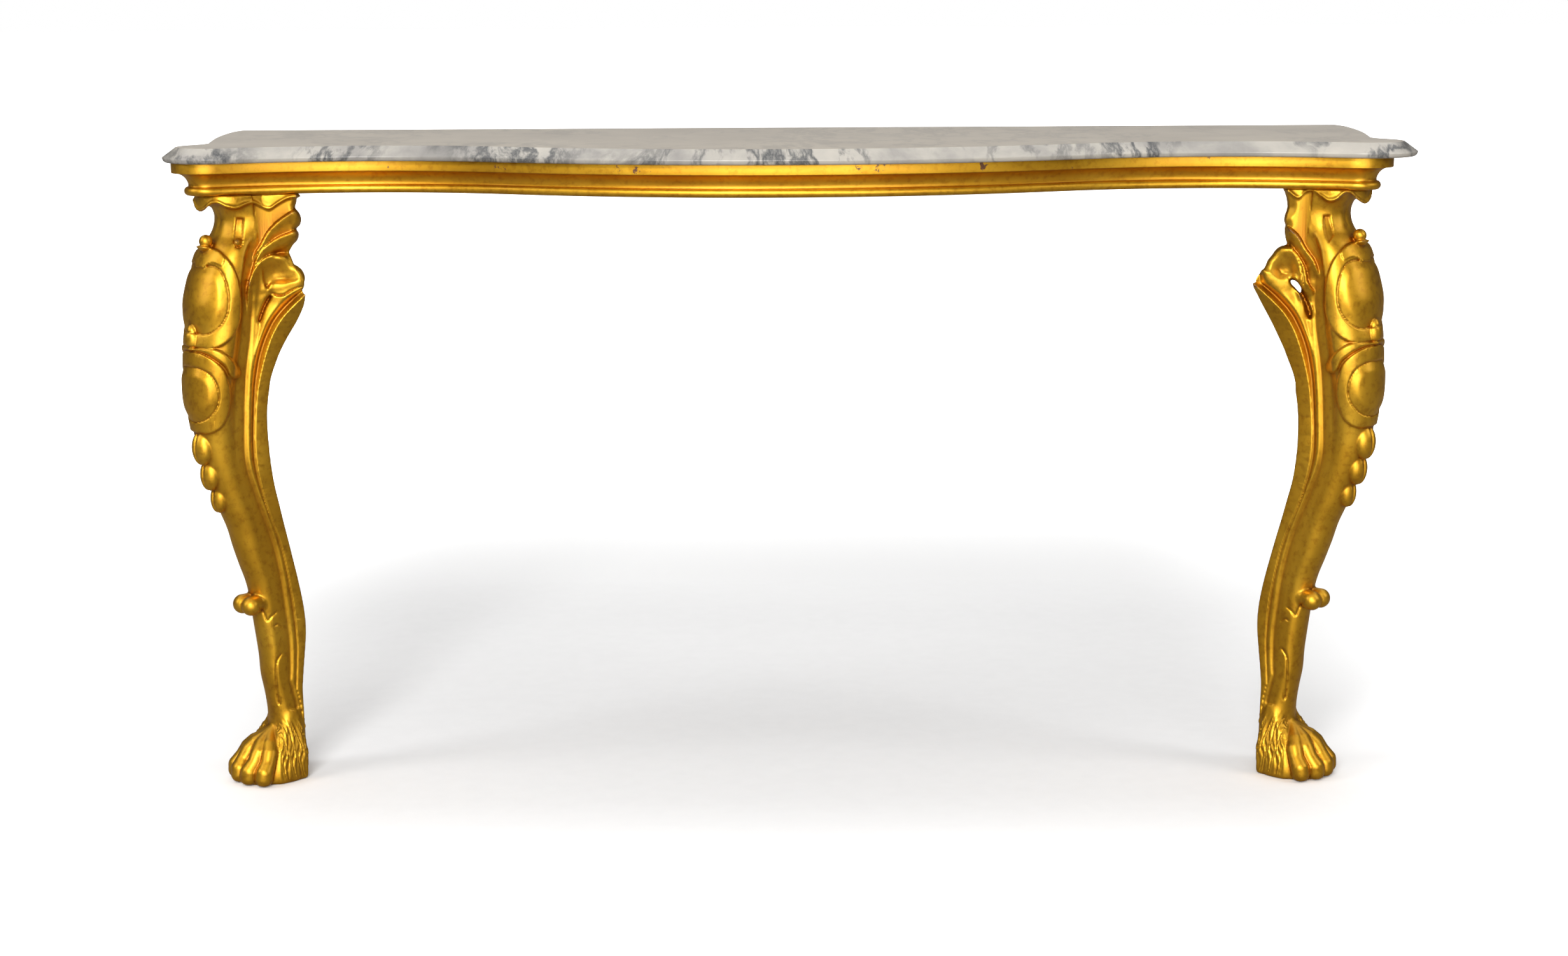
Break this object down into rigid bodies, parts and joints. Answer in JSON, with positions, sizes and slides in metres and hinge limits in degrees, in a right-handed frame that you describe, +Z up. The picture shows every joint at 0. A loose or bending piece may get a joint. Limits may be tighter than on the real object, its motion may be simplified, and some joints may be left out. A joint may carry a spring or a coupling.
{
  "type": "pier table",
  "caption": "Wall-fixed pier table: a serpentine veined marble slab on a slim gilded moulded frame, carried by carved cabriole legs with leaf ears and lion's paw feet.",
  "frame": {"origin": "on the wall plane, midway between the wall screws, at the middle of the back rail's rear face, 838 mm above the floor", "axes": "+X along the wall, to the right for someone facing the table; +Y into the wall; +Z up"},
  "size_m": [1.656, 0.5209, 0.88],
  "materials": {
    "marble": "white marble with soft grey veins, honed and waxed",
    "gilded_wood": "carved wood, water gilded over red-brown bole, rubbed on the high points",
    "bare_wood": "bare softwood, darkened with age",
    "felt": "pressed wool felt",
    "steel": "plain turned steel"
  },
  "bodies": {
    "root": {"marble_top": "marble", "marble_pads": "felt", "front_rail": "gilded_wood", "left_side_rail": "gilded_wood", "right_side_rail": "gilded_wood", "back_rail": "bare_wood", "left_front_block": "bare_wood", "right_front_block": "bare_wood", "left_rear_block": "bare_wood", "right_rear_block": "bare_wood", "left_batten": "bare_wood", "middle_batten": "bare_wood", "right_batten": "bare_wood", "left_leg": "gilded_wood", "right_leg": "gilded_wood", "left_front_ear": "gilded_wood", "left_side_ear": "gilded_wood", "right_front_ear": "gilded_wood", "right_side_ear": "gilded_wood", "rail_dowels": "bare_wood", "ear_dowels": "bare_wood", "rear_block_screws": "steel", "batten_screws": "steel", "leg_bolts": "steel", "leg_washers": "steel", "leg_nuts": "steel"}
  },
  "joints": []
}
